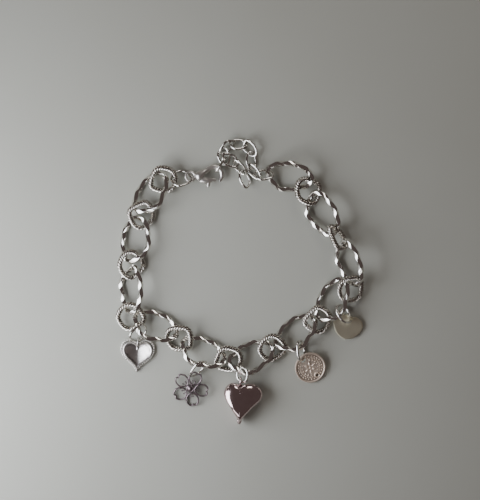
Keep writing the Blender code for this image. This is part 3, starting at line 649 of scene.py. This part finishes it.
def swelled_ring(turn):
    """The move onto the ring at a turn of the half circle in section."""
    share = math.sin(turn) ** SHOULDER
    rise = 1 - math.copysign(abs(math.cos(turn)) ** SHOULDER, math.cos(turn))
    heart_like = share ** ROUNDING

    def move(co):
        way = math.atan2(co.y, co.x)
        edge_far = np.interp(way, edge_turns, edge_reach, period=math.tau)
        far = edge_far * heart_like + ROUND_MIDDLE * (1 - heart_like)
        height = PUFFY_THICKNESS / 2 * MM * rise
        return Vector((math.cos(way) * far * share, math.sin(way) * far * share, height))
    return move


swept = 1 - 2 * PUFFY_FLAT
turns = [math.pi * (PUFFY_FLAT + swept * step / PUFFY_RINGS) for step in range(PUFFY_RINGS + 1)]
for corner in swelled.data.vertices:
    corner.co = swelled_ring(turns[0])(corner.co)
swelled = grown(swelled, [swelled_ring(turn) for turn in turns[1:]])
applied(swelled, "SMOOTH", factor=0.5, iterations=6)
notch = PUFFY[1] * (HEART_NOTCH + PUFFY[3])
drawn_tip = added("uv_sphere", segments=24, ring_count=16, radius=1,
                  location=(0, TIP_PLACE, PUFFY_THICKNESS / 2 * MM), scale=TIP_SIZE)
swelled = joined("puffy_pattern", [swelled, drawn_tip])
puffy = hung("puffy_pattern", swelled, notch, middle=PUFFY_THICKNESS / 2 * MM, neck_height=0.84 * MM,
             facing=0)
set_down(puffy, "puffy_heart", charm_lie("puffy_heart"), polished_shell)

# %% [markdown]
# ## The plain heart
# A flat heart, stamped from sheet, with softly rounded edges. Its flat face has a satin polish and shows
# one even tone. Its notch is soft and its tip is blunt, as on the real one.

# %% Plain heart
PLAIN = (9.8 * MM, 8.4 * MM)
PLAIN_SOFTENED = 0.42
PLAIN_BLUNT = 0.12
rows = [(0.955, 0.0), (0.985, 0.05), (0.997, 0.14), (1.0, 0.25), (1.0, 0.75), (0.997, 0.86), (0.985, 0.95),
        (0.955, 0.995), (0.9, 1.0)]
ring = heart_ring("plain_pattern", 120, *PLAIN, softened=PLAIN_SOFTENED, blunt=PLAIN_BLUNT)
stamped = profiled(ring, rows)
plain = hung("plain_pattern", stamped, PLAIN[1] * HEART_NOTCH, middle=0.5 * MM, neck_height=0.7 * MM,
             facing=72)
set_down(plain, "plain_heart", charm_lie("plain_heart"), satin_sheet)

# %% [markdown]
# ## The coin disc
# A thin disc with a raised rim and low relief all over. The relief is a plain ornament: rings of pellets
# round a rosette. Two holes are cut through it, one for its jump ring and a small one with a raised edge.

# %% Coin disc
DISC_ACROSS = 9.4 * MM
DISC_HOLE = 1.7 * MM
DISC_EYELET = 0.9 * MM
HOLE_PLACE = 3.2 * MM
FIELD = 0.65 * MM
PELLET_RISE = 0.22 * MM
PELLET_CLEARANCE = 0.35 * MM
EYELET_REACH = 0.68 * MM
EYELET_RISE = 0.22 * MM
coin = added("circle", vertices=96, radius=DISC_ACROSS / 2)
rows = [(0.975, 0.0), (0.995, 0.06), (1.0, 0.15), (1.0, 0.78), (0.992, 0.86), (0.97, 0.9), (0.925, 0.9),
        (0.905, 0.87), (0.89, 0.78), (0.88, 0.65), (0.6, 0.65)]
coin = profiled(coin, rows)
# rings of pellets: how many, how far out, how wide and how long, in millimetres
PELLETS = [(26, 3.65, 0.42, 0.42), (34, 3.05, 0.26, 0.4), (16, 2.4, 0.3, 0.62), (6, 1.25, 0.75, 1.3),
           (6, 1.85, 0.3, 0.3), (1, 0.0, 0.7, 0.7)]
relief = []
for count, out, wide, long in PELLETS:
    for number in range(count):
        turn = math.tau * (number + 0.5) / count
        place = Vector((math.cos(turn), math.sin(turn), 0)) * out * MM + Vector((0, 0, FIELD))
        clear = min((place - Vector((side * HOLE_PLACE, 0, FIELD))).length for side in (-1, 1))
        if clear > DISC_HOLE / 2 + PELLET_CLEARANCE:
            size = (long / 2 * MM, wide / 2 * MM, PELLET_RISE)
            relief.append(added("ico_sphere", subdivisions=2, radius=1, location=place, rotation=(0, 0, turn),
                                scale=size))
rim = added("torus", major_segments=36, minor_segments=10, major_radius=EYELET_REACH,
            minor_radius=EYELET_RISE, location=(-HOLE_PLACE, 0, FIELD))
for across, place in ((DISC_HOLE, HOLE_PLACE), (DISC_EYELET, -HOLE_PLACE)):
    cutter = added("cylinder", vertices=40, radius=across / 2, depth=4 * MM, location=(place, 0, 0))
    applied(coin, "BOOLEAN", operation="DIFFERENCE", object=cutter, solver="EXACT")
    bpy.data.objects.remove(cutter)
coin = finished(joined("disc_pattern", [coin, rim, *relief]))
set_down(coin, "coin_disc", charm_lie("coin_disc"), struck_metal)

# %% [markdown]
# ## The cherry blossom
# Five notched petals of thin wire stand round a domed centre, and each holds a pair of stamens. A petal
# is a closed curve with a round section, turned into a mesh and made higher than it is wide.

# %% Cherry blossom
BLOSSOM_HALF = 5.6 * MM
PETAL_WIRE = 0.5 * MM
BLOSSOM_MIDDLE = 0.4 * MM
PETALS = 5
PETAL_STRETCH = 1.55
# a pair's stamens stand so many degrees to each side of their petal's middle
STAMEN_TURN = 11
STAMEN_LENGTH = 1.7 * MM
STAMEN_PLACE = 1.75 * MM
STAMEN_TIP = 2.62 * MM
# one petal's outline as shares of half the flower: along the petal and aside of it
PETAL = [(0.24, 0.0), (0.31, 0.15), (0.46, 0.28), (0.65, 0.325), (0.83, 0.27), (0.95, 0.13), (0.88, 0.0),
         (0.95, -0.13), (0.83, -0.27), (0.65, -0.325), (0.46, -0.28), (0.31, -0.15)]


def petal_wire():
    """One petal of wire along +X, flat side down."""
    bpy.ops.object.select_all(action="DESELECT")
    bpy.ops.curve.primitive_bezier_circle_add(radius=1)
    wire = bpy.context.object
    line = wire.data.splines[0]
    line.bezier_points.add(len(PETAL) - len(line.bezier_points))
    for knot, (along, aside) in zip(line.bezier_points, PETAL):
        knot.co = (along * BLOSSOM_HALF, aside * BLOSSOM_HALF, 0)
        corner = aside == 0
        knot.handle_left_type = "VECTOR" if corner else "AUTO"
        knot.handle_right_type = "VECTOR" if corner else "AUTO"
    wire.data.dimensions = "3D"
    wire.data.resolution_u = 6
    wire.data.bevel_depth = PETAL_WIRE / 2
    wire.data.bevel_resolution = 3
    bpy.ops.object.convert(target="MESH")
    wire.scale.z = PETAL_STRETCH
    wire.location.z = BLOSSOM_MIDDLE
    bpy.ops.object.transform_apply(location=True, rotation=True, scale=True)
    return wire


def spun(piece, count):
    """The piece and its copies, turned evenly round Z."""
    pieces = [piece]
    for number in range(1, count):
        copy = piece.copy()
        copy.data = piece.data.copy()
        copy.data.transform(Matrix.Rotation(math.tau * number / count, 4, "Z"))
        bpy.context.collection.objects.link(copy)
        pieces.append(copy)
    return pieces


parts = spun(petal_wire(), PETALS)
for side in (-1, 1):
    turn = side * math.radians(STAMEN_TURN)
    way = Vector((math.cos(turn), math.sin(turn), 0))
    rod = added("cone", vertices=10, radius1=0.17 * MM, radius2=0.11 * MM, depth=STAMEN_LENGTH,
                location=way * STAMEN_PLACE + Vector((0, 0, BLOSSOM_MIDDLE)),
                rotation=(0, math.pi / 2, turn))
    tip = added("ico_sphere", subdivisions=2, radius=0.24 * MM,
                location=way * STAMEN_TIP + Vector((0, 0, BLOSSOM_MIDDLE)))
    parts += spun(joined("stamen", [rod, tip]), PETALS)
dome = added("circle", vertices=36, radius=1.25 * MM)
parts.append(profiled(dome, [(0.9, 0.06), (1.0, 0.16), (1.0, 0.62), (0.95, 0.78), (0.82, 0.84), (0.7, 0.78),
                             (0.6, 0.86), (0.45, 1.06), (0.25, 1.2), (0.05, 1.26)]))
blossom = finished(joined("blossom_pattern", parts), smooth_under=50)
set_down(blossom, "cherry_blossom", charm_lie("cherry_blossom"), antique_metal)

# %% [markdown]
# ## The lobster clasp
# The cast body is swept in one go: from the hook's tip round the hook to the shank, which swells and
# then narrows to the flat eye. A slot is cut for the lever, and the lever's pin crosses it.

# %% Clasp body
CLASP_MIDDLE = 1.5 * MM
HOOK_CENTRE = Vector((9.0, 0, 0)) * MM
HOOK_REACH = 2.45 * MM
HOOK_TIP = -52
HOOK_ROOT = 140
HOOK_STEPS = 28
HOOK_HALF_WIDE = 0.75
HOOK_HALF_THICK = 0.825
# the hook slims to this share of itself over its first steps, and its tip is rounded at these angles
TIP_SLIM = 0.8
SLIM_STEPS = 8
TIP_REACH = 0.3 * MM
TIP_TURNS = (1.35, 1.0, 0.6, 0.3)
PIN = Vector((4.6, -0.7, 0)) * MM
SLOT_PLACE = (6.225 * MM, -1.475 * MM)
SLOT_SIZE = (5.55 * MM, 3.85 * MM, 1.4 * MM)
CLASP_EYE_REACH = 1.4 * MM
CLASP_EYE_PLACE = 1.8 * MM
CLASP_EYE_WIRE = 0.8 * MM
PIN_ACROSS = 0.8 * MM
PIN_LENGTH = 2.2 * MM
# stations of the shank from the hook back to the eye: place, aside, half width, half thickness
SHANK = [(6.3, 1.15, 1.0, 1.15), (5.6, 0.55, 1.3, 1.38), (5.0, 0.15, 1.55, 1.46), (4.4, -0.1, 1.68, 1.5),
         (3.9, -0.1, 1.48, 1.35), (3.5, -0.05, 1.1, 1.0), (3.2, 0.0, 0.75, 0.68), (3.0, 0.0, 0.5, 0.45)]


def section(place, outward, half_wide, half_thick):
    """Where a unit circle goes as one section of the clasp."""
    return Matrix((
        (outward.x * half_wide, 0, 0, place.x),
        (outward.y * half_wide, 0, 0, place.y),
        (0, half_thick, 0, CLASP_MIDDLE),
        (0, 0, 0, 1),
    ))


stations = []
for step in range(HOOK_STEPS + 1):
    turn = math.radians(HOOK_TIP + (HOOK_ROOT - HOOK_TIP) * step / HOOK_STEPS)
    outward = Vector((math.cos(turn), math.sin(turn), 0))
    slim = TIP_SLIM + (1 - TIP_SLIM) * min(step / SLIM_STEPS, 1)
    half_wide = HOOK_HALF_WIDE * slim * MM
    stations.append((HOOK_CENTRE + outward * HOOK_REACH, outward, half_wide, HOOK_HALF_THICK * slim * MM))
tip, outward, wide, thick = stations[0]
ahead = outward.cross(Vector((0, 0, -1)))
rounded = [(tip + ahead * TIP_REACH * math.sin(turn), outward, wide * math.cos(turn), thick * math.cos(turn))
           for turn in TIP_TURNS]
for place, aside, half_wide, half_thick in SHANK:
    stations.append((Vector((place, aside, 0)) * MM, Vector((0, 1, 0)), half_wide * MM, half_thick * MM))
stations = rounded + stations
SECTION_CORNERS = 24
body = added("circle", vertices=SECTION_CORNERS, radius=1)
body.data.transform(section(*stations[0]))


def resectioned(old, new):
    """The move from one section to the next, read back from a corner's own angle."""
    def move(co):
        flat = (co - Vector((old[0].x, old[0].y, CLASP_MIDDLE)))
        across = flat.dot(old[1]) / old[2]
        high = flat.z / old[3]
        return section(*new) @ Vector((across, high, 0))
    return move


grown(body, [resectioned(old, new) for old, new in zip(stations, stations[1:])])
slot = added("cube", size=1, location=(*SLOT_PLACE, CLASP_MIDDLE), scale=SLOT_SIZE)
applied(body, "BOOLEAN", operation="DIFFERENCE", object=slot, solver="EXACT")
bpy.data.objects.remove(slot)
eye = added("torus", major_segments=44, minor_segments=14, major_radius=CLASP_EYE_REACH,
            minor_radius=CLASP_EYE_WIRE / 2, location=(CLASP_EYE_PLACE, 0, CLASP_MIDDLE))
pin = added("cylinder", vertices=24, radius=PIN_ACROSS / 2, depth=PIN_LENGTH,
            location=(PIN.x, PIN.y, CLASP_MIDDLE))
clasp = finished(joined("clasp_pattern", [body, eye, pin]), smooth_under=45)
set_down(clasp, "clasp_body", charm_lie("clasp_body"), cast_metal)

# %% [markdown]
# ## The lever
# The lever turns on the pin, closes on the inside of the hook's tip and has a thumb nib on the wrist
# side. It rides on its own body, apart from the clasp's.

# %% Clasp lever
KNUCKLE = 0.95 * MM
LEVER_THICKNESS = 1.0 * MM
BAR_START = 0.5 * MM
BAR_SHORT = 0.95 * MM
BAR_WIDTH = 0.9 * MM
CHEEK_SIZE = (2.1 * MM, 0.95 * MM, 0.62 * MM)
NIB_SIZE = (0.85 * MM, 2.0 * MM, 0.96 * MM)
NIB_LEAN = 0.12
PIN_HOLE = 0.52 * MM
tip_turn = math.radians(HOOK_TIP)
hook_tip = HOOK_CENTRE + Vector((math.cos(tip_turn), math.sin(tip_turn), 0)) * HOOK_REACH
reach = hook_tip - PIN
along = reach.normalized()
aside = Vector((0, 0, 1)).cross(along)
bar_length = reach.length - BAR_SHORT
heading = math.atan2(along.y, along.x)
knuckle = added("cylinder", vertices=40, radius=KNUCKLE, depth=LEVER_THICKNESS)
bar = added("cube", size=1, location=along * (BAR_START + bar_length) / 2, rotation=(0, 0, heading),
            scale=(bar_length - BAR_START, BAR_WIDTH, LEVER_THICKNESS))
cheek = added("uv_sphere", segments=40, ring_count=24, radius=1, location=along * 1.7 * MM - aside * 0.5 * MM,
              rotation=(0, 0, heading), scale=CHEEK_SIZE)
nib_place = along * 2.95 * MM - aside * 1.4 * MM
nib = added("cube", size=1, location=nib_place, rotation=(0, 0, heading - NIB_LEAN), scale=NIB_SIZE)
for piece, offset in ((bar, 0.2), (nib, 0.3), (knuckle, 0.08)):
    with edited(piece):
        pick("edges", lambda edge: edge.calc_face_angle(0) > 0.8)
        bpy.ops.mesh.bevel(offset=offset * MM, segments=3, affect="EDGES")
for piece in (bar, nib, cheek):
    applied(knuckle, "BOOLEAN", operation="UNION", object=piece, solver="EXACT")
    bpy.data.objects.remove(piece)
hole = added("cylinder", vertices=32, radius=PIN_HOLE, depth=4 * MM)
applied(knuckle, "BOOLEAN", operation="DIFFERENCE", object=hole, solver="EXACT")
bpy.data.objects.remove(hole)
lever = finished(joined("lever_pattern", [knuckle]), smooth_under=45)
set_down(lever, "clasp_lever", charm_lie("clasp_lever"), cast_metal, "lever")

# %% The patterns go once all their copies lie in place
link_patterns = [oval, rope, small, joiner, short_jump, long_jump]
for pattern in link_patterns + [beaded, puffy, plain, coin, blossom, clasp, lever]:
    bpy.data.objects.remove(pattern)

# %% [markdown]
# ## Table
# The table top is a plain, pale, slightly greenish grey with a soft sheen and a faint unevenness.

# %% Table
bpy.ops.object.select_all(action="DESELECT")
bpy.ops.mesh.primitive_plane_add(size=3, location=(0, 0, 0))
table = bpy.context.object
table.name = "table_top"
painted = bpy.data.materials.new("painted_board_satin")
painted.use_nodes = True
tree = painted.node_tree
place = put(tree, "ShaderNodeTexCoord").outputs["Object"]
cloud = put(tree, "ShaderNodeTexNoise", {"Vector": place, "Scale": per_mm(60), "Detail": 3})
tone = put(tree, "ShaderNodeMix", {0: cloud.outputs["Fac"], 6: linear("#AFAFA6"), 7: linear("#A6A59B")},
           data_type="RGBA")
tree.links.new(tone.outputs[2], tree.nodes["Principled BSDF"].inputs["Base Color"])
tree.nodes["Principled BSDF"].inputs["Roughness"].default_value = 0.55
table.data.materials.append(painted)

# %% [markdown]
# ## Light
# A wide soft light stands on the left, as the window does, and gives the white highlights and the soft
# shadows on the right. It stands so near that the table falls off to the right, as in the photograph. Two
# others stand further off and put sparks on the links that run across the view: a small one beyond the
# bracelet, and a wider one before it on the left. The room above is dim and warm, so flat polished faces
# look dark.


# %% Lights
def soft_light(name, place, size, power, colour):
    """A square area light that looks at the middle of the bracelet."""
    bpy.ops.object.light_add(type="AREA", location=Vector(place))
    lamp = bpy.context.object
    lamp.name = name
    lamp.data.size = size
    lamp.data.energy = power
    lamp.data.color = linear(colour)[:3]
    lamp.rotation_euler = (-Vector(place)).to_track_quat("-Z", "Y").to_euler()
    return lamp


soft_light("window", (-0.14, -0.03, 0.088), 0.14, 0.54, "#F2F7FF")
soft_light("far_glint", (0.06, 0.34, 0.24), 0.12, 0.26, "#FFFDF8")
soft_light("near_glint", (-0.35, -0.5, 0.4), 0.3, 0.75, "#FFFFFF")
world = bpy.data.worlds.new("dim_room")
bpy.context.scene.world = world
world.use_nodes = True
background = world.node_tree.nodes["Background"]
background.inputs["Color"].default_value = linear("#776B69")
background.inputs["Strength"].default_value = 0.52
